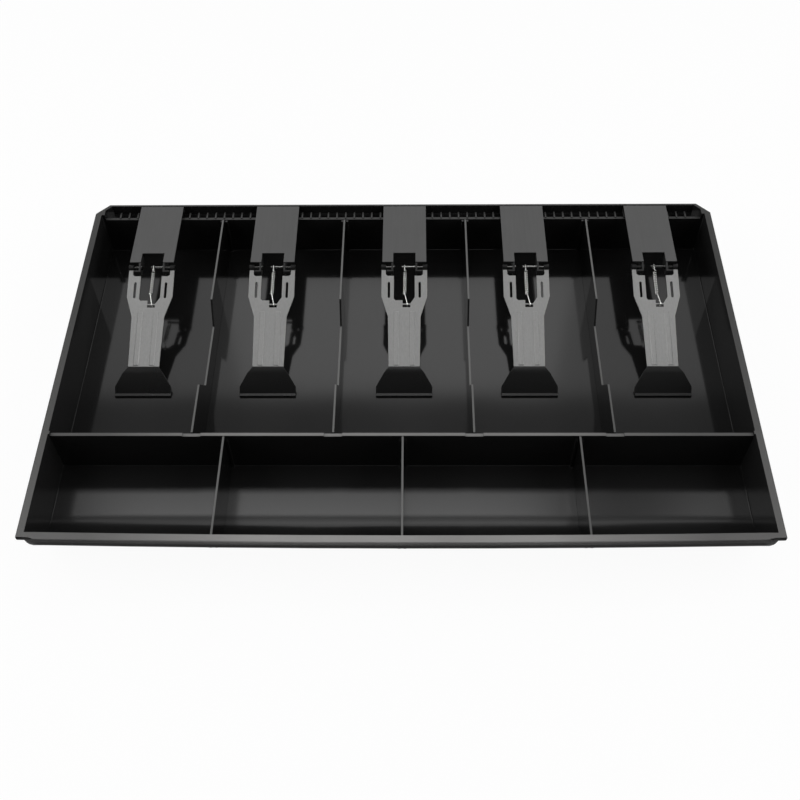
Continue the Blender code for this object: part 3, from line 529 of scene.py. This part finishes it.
def dull_side_walls(finish):
    """Less mirroring on the upright faces that look sideways between the cross wall and the
    rack, where clips and bills rub."""
    tree = finish.tree
    where = tree.nodes.new("ShaderNodeTexCoord")
    place = tree.nodes.new("ShaderNodeSeparateXYZ")
    facing = tree.nodes.new("ShaderNodeSeparateXYZ")
    tree.links.new(where.outputs["Object"], place.inputs["Vector"])
    tree.links.new(where.outputs["Normal"], facing.inputs["Vector"])
    across = add_math(tree, "ABSOLUTE", facing.outputs["X"], 0.0)
    upright = add_math(tree, "GREATER_THAN", across, UPRIGHT_ABOVE)
    behind_cups = add_math(tree, "GREATER_THAN", place.outputs["Y"], CUPS_BEFORE)
    before_rear = add_math(tree, "LESS_THAN", place.outputs["Y"], BILLS_REAR)
    between = add_math(tree, "MULTIPLY", behind_cups, before_rear)
    face_mask = add_math(tree, "MULTIPLY", upright, between)
    duller = add_math(tree, "MULTIPLY", face_mask, SIDE_WALL_IOR - PLASTIC_IOR)
    finish.feed("IOR", add_math(tree, "ADD", duller, PLASTIC_IOR))


def moulded(name, colour, roughness, spread, worn, specular=PLAIN_SPECULAR, tops=None, scuff=0.0):
    """Black moulded plastic: fine grain, uneven gloss and paler handled edges. Worn is those
    edges' colour, amount, width and least height. Tops are the upper faces, with the lip's outer
    face, painted paler as painted light: the height they start at, its rise to the front, a rear
    and a front colour, a roughness. Scuff is the roughness that coins add in the cups."""
    finish = Finish(name, 0.0, specular)
    grain = finish.group("grain", Grain_Scale=PLASTIC_GRAIN, Cloud_Scale=PLASTIC_CLOUDS,
                         Roughness=roughness, Spread=spread, Scuff=scuff,
                         Scuffed_Before=CUPS_BEFORE)
    wear = finish.group("edge", Width=worn["width"], Amount=worn["amount"],
                        Break_Scale=PLASTIC_BREAKS, Above=worn["above"])
    clouds = grain.outputs["Clouds"]
    body_colour = finish.mix_colour(clouds, colour, shade(colour, PLASTIC_PALER))
    body_colour = finish.mix_colour(wear.outputs["Mask"], body_colour, worn["colour"])
    body_roughness = grain.outputs["Roughness"]
    # Upper faces are painted paler as painted light, paler to the front and darker at the ends, with
    # random darker patches; they are also rougher.
    if tops:
        face_mask = finish.group("top", From=tops["height"], To=tops["height"] + TOP_FADE,
                              Front_Rise=tops["front_rise"], Lip_Before=LIP_BEFORE)
        top = face_mask.outputs["Top"]
        end_colour = shade(tops["front"], END_SHADE)
        front = finish.mix_colour(face_mask.outputs["Middle"], end_colour, tops["front"])
        top_colour = finish.mix_colour(face_mask.outputs["Forward"], tops["rear"], front)
        smudged = finish.mix_colour(clouds, top_colour, (0.0, 0.0, 0.0))
        top_colour = finish.mix_colour(SMUDGE, top_colour, smudged)
        body_colour = finish.mix_colour(top, body_colour, top_colour)
        rougher = add_math(finish.tree, "MULTIPLY", top, tops["roughness"] - roughness)
        body_roughness = add_math(finish.tree, "ADD", body_roughness, rougher)
        dull_side_walls(finish)
    finish.feed("Base Color", body_colour)
    finish.feed("Roughness", body_roughness)
    finish.feed("Normal", finish.bump(grain.outputs["Height"], PLASTIC_BUMP, GRAIN_DEPTH))
    return finish.material


def sheet_steel(name, colour, worn_colour, roughness, metallic, flat_above=None):
    """Pressed sheet: long rolling lines, uneven sheen and worn edges. It keeps its own colour on
    its top faces above a height, or else on the lever's broad faces, and is painted dark
    elsewhere as painted shade."""
    finish = Finish(name, metallic)
    lines = finish.group("drawn", Scale=SHEET_LINES, Stretch=LINE_STRETCH).outputs["Lines"]
    grain = finish.group("grain", Grain_Scale=SHEET_GRAIN, Cloud_Scale=SHEET_CLOUDS,
                         Roughness=roughness, Spread=SHEET_SPREAD)
    wear = finish.group("edge", Width=CUT_EDGE_WIDTH, Amount=CUT_EDGE_WEAR,
                        Break_Scale=CUT_EDGE_BREAKS)
    lined = finish.mix_colour(lines, colour, shade(colour, SHEET_PALER))
    lined = finish.mix_colour(wear.outputs["Mask"], lined, worn_colour)
    # Faces outside the mask get a dark colour as painted shade: the plate's ears and underside, the
    # lever's edges and knuckles.
    if flat_above is None:
        unshaded_faces = finish.group("flat").outputs["Mask"]
    else:
        unshaded_faces = finish.group("top", From=flat_above, To=flat_above + TOP_FADE).outputs["Top"]
    finish.feed("Base Color", finish.mix_colour(unshaded_faces, PAINTED_SHADE_COLOUR, lined))
    finish.feed("Roughness", grain.outputs["Roughness"])
    finish.feed("Normal", finish.bump(lines, LINE_BUMP, LINE_DEPTH))
    return finish.material


def bright_steel(name, colour, roughness):
    """Bright wire and plated pins, with faint scratches."""
    finish = Finish(name, 1.0)
    grain = finish.group("grain", Grain_Scale=WIRE_GRAIN, Cloud_Scale=WIRE_CLOUDS,
                         Roughness=roughness, Spread=WIRE_SPREAD)
    duller = shade(colour, WIRE_DULLER)
    finish.feed("Base Color", finish.mix_colour(grain.outputs["Clouds"], duller, colour))
    finish.feed("Roughness", grain.outputs["Roughness"])
    finish.feed("Normal", finish.bump(grain.outputs["Height"], SCRATCH_BUMP, SCRATCH_DEPTH))
    return finish.material


def dress(node, finish, edge, joined=True):
    """Gives a solid of the model its finish, edges rounded to a width and smooth shading. Its
    flat faces are joined first, unless a raised shape stands on one of them."""
    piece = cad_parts[node]
    for slot in piece.material_slots:
        slot.material = finish
    weld = piece.modifiers.new("weld", "WELD")
    weld.merge_threshold = WELD_WITHIN
    if joined:
        flat = piece.modifiers.new("flat faces", "DECIMATE")
        flat.decimate_type = "DISSOLVE"
        flat.angle_limit = FLAT
    smooth = piece.modifiers.new("smooth facets", "NODES")
    smooth.node_group = SMOOTHING
    rounding = piece.modifiers.new("rounded edges", "BEVEL")
    rounding.width = edge
    rounding.segments = EDGE_STEPS
    rounding.limit_method = "WEIGHT"
    rounding.miter_outer = "MITER_ARC"
    even = piece.modifiers.new("flat faces stay flat", "WEIGHTED_NORMAL")
    even.keep_sharp = True
    even.mode = "FACE_AREA"
    even.weight = FLAT_FACE_WEIGHT


def spring_line():
    """The wire's centre line from the anchor's hook to the lever's hook, along local -Y."""
    bar_y = HINGE_Y - HOOK_BAR_ALONG * math.cos(LEVER_TILT)
    bar_z = HINGE_Z - HOOK_BAR_ALONG * math.sin(LEVER_TILT)
    reach = math.hypot(ANCHOR_Y - bar_y, ANCHOR_Z - bar_z)
    tilt = math.atan2(ANCHOR_Z - bar_z, ANCHOR_Y - bar_y)
    points = []
    for step in range(HOOK_STEPS, -1, -1):
        turn = HOOK_TURN * step / HOOK_STEPS
        points.append((0.0, HOOK_RADIUS * math.sin(turn), HOOK_RADIUS * math.cos(turn)))
    count = int(COIL_TURNS * STEPS_A_TURN)
    for step in range(count + 1):
        ease = min(1.0, step / EASE_STEPS, (count - step) / EASE_STEPS)
        blend = ease * ease * (3 - 2 * ease)
        radius = HOOK_RADIUS + (COIL_RADIUS - HOOK_RADIUS) * blend
        turn = 2 * math.pi * step / STEPS_A_TURN
        along = COIL_START + COIL_LENGTH * step / count
        points.append((radius * math.sin(turn), -along, radius * math.cos(turn)))
    for step in range(HOOK_STEPS + 1):
        turn = HOOK_TURN * step / HOOK_STEPS
        along = reach + HOOK_RADIUS * math.sin(turn)
        points.append((FRONT_HOOK_SIDE, -along, HOOK_RADIUS * math.cos(turn)))
    return points, tilt


def wind_spring(number, finish):
    """One extension spring of round wire, in place of its coarser solid."""
    node = f"clip_{number}_spring"
    low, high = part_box(node)
    points, tilt = spring_line()
    curve = bpy.data.curves.new(f"wire_spring_{number}", "CURVE")
    curve.dimensions = "3D"
    curve.bevel_depth = WIRE_RADIUS
    curve.bevel_resolution = 2
    curve.use_fill_caps = True
    spline = curve.splines.new("POLY")
    spline.points.add(len(points) - 1)
    for point, place in zip(spline.points, points):
        point.co = (*place, 1.0)
    drawing = bpy.data.objects.new(f"spring_drawing_{number}", curve)
    bpy.context.scene.collection.objects.link(drawing)
    mesh = bpy.data.meshes.new_from_object(drawing)
    bpy.data.objects.remove(drawing, do_unlink=True)
    form = bmesh.new()
    form.from_mesh(mesh)
    bmesh.ops.remove_doubles(form, verts=form.verts, dist=WELD_WITHIN)
    for face in form.faces:
        face.smooth = True
    turned = Matrix.Rotation(tilt, 4, "X")
    place = Matrix.Translation(((low.x + high.x) / 2, ANCHOR_Y, ANCHOR_Z)) @ turned
    bmesh.ops.transform(form, matrix=place, verts=form.verts)
    form.to_mesh(mesh)
    form.free()
    spring = bpy.data.objects.new(f"wire_spring_{number}", mesh)
    bpy.context.scene.collection.objects.link(spring)
    mesh.materials.clear()
    mesh.materials.append(finish)
    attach(spring, f"clip_{number}_coil")
    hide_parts(node)


def make_floor():
    """A pale floor that glows where it is seen, and keeps the insert's shadow."""
    form = bmesh.new()
    bmesh.ops.create_grid(form, x_segments=1, y_segments=1, size=FLOOR_SIZE / 2)
    mesh = bpy.data.meshes.new("studio_floor")
    form.to_mesh(mesh)
    form.free()
    floor = bpy.data.objects.new("studio_floor", mesh)
    floor.location.z = -FLOOR_DROP
    bpy.context.scene.collection.objects.link(floor)
    material = bpy.data.materials.new("pale_floor")
    material.use_nodes = True
    tree = material.node_tree
    shader = tree.nodes["Principled BSDF"]
    shader.inputs["Base Color"].default_value = (*FLOOR_COLOUR, 1.0)
    shader.inputs["Roughness"].default_value = FLOOR_ROUGHNESS
    shader.inputs["Specular IOR Level"].default_value = 0.0
    glow = tree.nodes.new("ShaderNodeEmission")
    mix = tree.nodes.new("ShaderNodeMixShader")
    seen = tree.nodes.new("ShaderNodeLightPath").outputs["Is Camera Ray"]
    share = add_math(tree, "MULTIPLY", seen, FLOOR_GLOW)
    tree.links.new(share, mix.inputs["Fac"])
    tree.links.new(shader.outputs["BSDF"], mix.inputs[1])
    tree.links.new(glow.outputs["Emission"], mix.inputs[2])
    tree.links.new(mix.outputs["Shader"], tree.nodes["Material Output"].inputs["Surface"])
    mesh.materials.append(material)
    floor.visible_glossy = False


def make_room():
    """Pale walls at the sides and the rear, a dark wall behind the camera, a dim ceiling and a
    dark bench, so that gloss shows the soft boxes."""
    world = bpy.data.worlds.new("studio")
    bpy.context.scene.world = world
    world.use_nodes = True
    tree = world.node_tree
    direction = tree.nodes.new("ShaderNodeTexCoord").outputs["Generated"]
    split = tree.nodes.new("ShaderNodeSeparateXYZ")
    tree.links.new(direction, split.inputs["Vector"])
    fade = tree.nodes.new("ShaderNodeMapRange")
    fade.interpolation_type = "SMOOTHSTEP"
    fade.inputs["From Min"].default_value = WALL_TOP
    fade.inputs["From Max"].default_value = CEILING_EDGE
    fade.inputs["To Min"].default_value = WALL_LIGHT
    fade.inputs["To Max"].default_value = CEILING_LIGHT
    tree.links.new(split.outputs["Z"], fade.inputs["Value"])
    bench = tree.nodes.new("ShaderNodeMapRange")
    bench.inputs["From Min"].default_value = BENCH_EDGE
    bench.inputs["From Max"].default_value = 0.0
    bench.inputs["To Min"].default_value = BENCH_LIGHT
    bench.inputs["To Max"].default_value = 1.0
    tree.links.new(split.outputs["Z"], bench.inputs["Value"])
    strength = add_math(tree, "MULTIPLY", fade.outputs["Result"], bench.outputs["Result"])
    behind = tree.nodes.new("ShaderNodeMapRange")
    behind.inputs["From Min"].default_value = FRONT_WALL_FROM
    behind.inputs["From Max"].default_value = FRONT_WALL_TO
    behind.inputs["To Min"].default_value = FRONT_WALL_LIGHT
    tree.links.new(split.outputs["Y"], behind.inputs["Value"])
    strength = add_math(tree, "MULTIPLY", strength, behind.outputs["Result"])
    seen = tree.nodes.new("ShaderNodeLightPath").outputs["Is Camera Ray"]
    strength = add_math(tree, "MAXIMUM", strength, seen)
    background = tree.nodes["Background"]
    background.inputs["Color"].default_value = (1.0, 1.0, 1.0, 1.0)
    tree.links.new(strength, background.inputs["Strength"])


def add_lamp(name, place, target, size, glow):
    """A soft box that faces its target and is as bright as its glow, where white is 1."""
    light = bpy.data.lights.new(name, "AREA")
    light.shape = "RECTANGLE"
    light.size, light.size_y = size
    light.energy = glow * math.pi * size[0] * size[1]
    lamp = bpy.data.objects.new(name, light)
    lamp.location = place
    aim = Vector(target) - Vector(place)
    lamp.rotation_euler = aim.to_track_quat("-Z", "Y").to_euler()
    lamp.visible_camera = False
    bpy.context.scene.collection.objects.link(lamp)


def make_camera():
    """The camera at the photograph's place and angle."""
    forward = Vector((
        math.sin(CAMERA_YAW) * math.cos(CAMERA_DIP),
        math.cos(CAMERA_YAW) * math.cos(CAMERA_DIP),
        -math.sin(CAMERA_DIP),
    ))
    level_right = Vector((math.cos(CAMERA_YAW), -math.sin(CAMERA_YAW), 0.0))
    level_down = forward.cross(level_right)
    right = math.cos(CAMERA_ROLL) * level_right + math.sin(CAMERA_ROLL) * level_down
    down = math.cos(CAMERA_ROLL) * level_down - math.sin(CAMERA_ROLL) * level_right
    view = bpy.data.cameras.new("view")
    view.sensor_fit = "HORIZONTAL"
    view.sensor_width = CAMERA_SENSOR
    view.lens = CAMERA_LENS
    view.clip_start = 10 * MM
    camera = bpy.data.objects.new("view", view)
    turn = Matrix((right, -down, -forward)).transposed().to_4x4()
    camera.matrix_world = Matrix.Translation(CAMERA_PLACE) @ turn
    bpy.context.scene.collection.objects.link(camera)
    bpy.context.scene.camera = camera


make_camera()
make_floor()
make_room()
for name, (place, size, glow) in REAR_BOXES.items():
    straight_ahead = (place[0], 0.0, place[2])
    add_lamp(name, place, straight_ahead, size, glow)
for name, (place, target, size, glow) in NEAR_BOXES.items():
    add_lamp(name, place, target, size, glow)
bpy.context.scene.view_settings.view_transform = "Standard"

# The tray's upper faces and lip are painted paler as painted light: dark grey at the rear, light grey
# at the front, darker towards the ends.
tray_finish = moulded(
    "black_tray", (0.008, 0.008, 0.008), roughness=0.09, spread=0.04, scuff=0.09,
    worn={"colour": (0.03, 0.03, 0.03), "amount": 0.5, "width": 0.35 * MM, "above": 26 * MM},
    tops={"height": 30.05 * MM, "front_rise": 3.0 * MM, "rear": (0.04, 0.04, 0.039),
          "front": (0.3, 0.296, 0.29), "roughness": 0.35},
)
# The dividers' upper faces are painted paler, as a painted highlight.
divider_finish = moulded(
    "black_divider", (0.003, 0.003, 0.003), roughness=0.12, spread=0.05,
    worn={"colour": (0.03, 0.03, 0.03), "amount": 0.5, "width": 0.35 * MM, "above": 4 * MM},
    tops={"height": 5.0 * MM, "front_rise": 0.0, "rear": (0.125, 0.125, 0.123),
          "front": (0.1, 0.1, 0.098), "roughness": 0.3},
)
shoe_finish = moulded(
    "black_shoe", (0.006, 0.006, 0.006), roughness=0.28, spread=0.08, specular=0.35,
    worn={"colour": (0.05, 0.05, 0.05), "amount": 1.0, "width": 0.7 * MM, "above": OUTSIDE},
)
# The plate is painted dark below its top and the lever on its edges and knuckles, as painted shade.
plate_finish = sheet_steel("grey_plate", (0.054, 0.054, 0.054), (0.17, 0.17, 0.17),
                           roughness=0.55, metallic=0.0, flat_above=33.0 * MM)
lever_finish = sheet_steel("grey_lever", (0.24, 0.24, 0.237), (0.5, 0.5, 0.49),
                           roughness=0.48, metallic=0.5)
wire_finish = bright_steel("bright_wire", (0.95, 0.95, 0.93), roughness=0.22)
pin_finish = bright_steel("plated_pin", (0.2, 0.2, 0.195), roughness=0.12)
rod_finish = bright_steel("plated_rod", (0.5, 0.5, 0.49), roughness=0.15)

dress("tray", tray_finish, MOULDED_EDGE)
for number in range(1, BILL_DIVIDERS + 1):
    dress(f"bill_divider_{number}", divider_finish, MOULDED_EDGE)
for number in range(1, COIN_DIVIDERS + 1):
    dress(f"coin_divider_{number}", divider_finish, MOULDED_EDGE)
for number in range(1, CLIPS + 1):
    clip = f"clip_{number}_"
    dress(clip + "bracket", plate_finish, SHEET_EDGE)
    dress(clip + "lever", lever_finish, SHEET_EDGE, joined=False)
    dress(clip + "foot", shoe_finish, SHOE_EDGE)
    for hand in ("left", "right"):
        dress(clip + "pin_" + hand, pin_finish, PIN_EDGE)
    dress(clip + "anchor", rod_finish, PIN_EDGE)
    wind_spring(number, wire_finish)

bpy.context.view_layer.update()
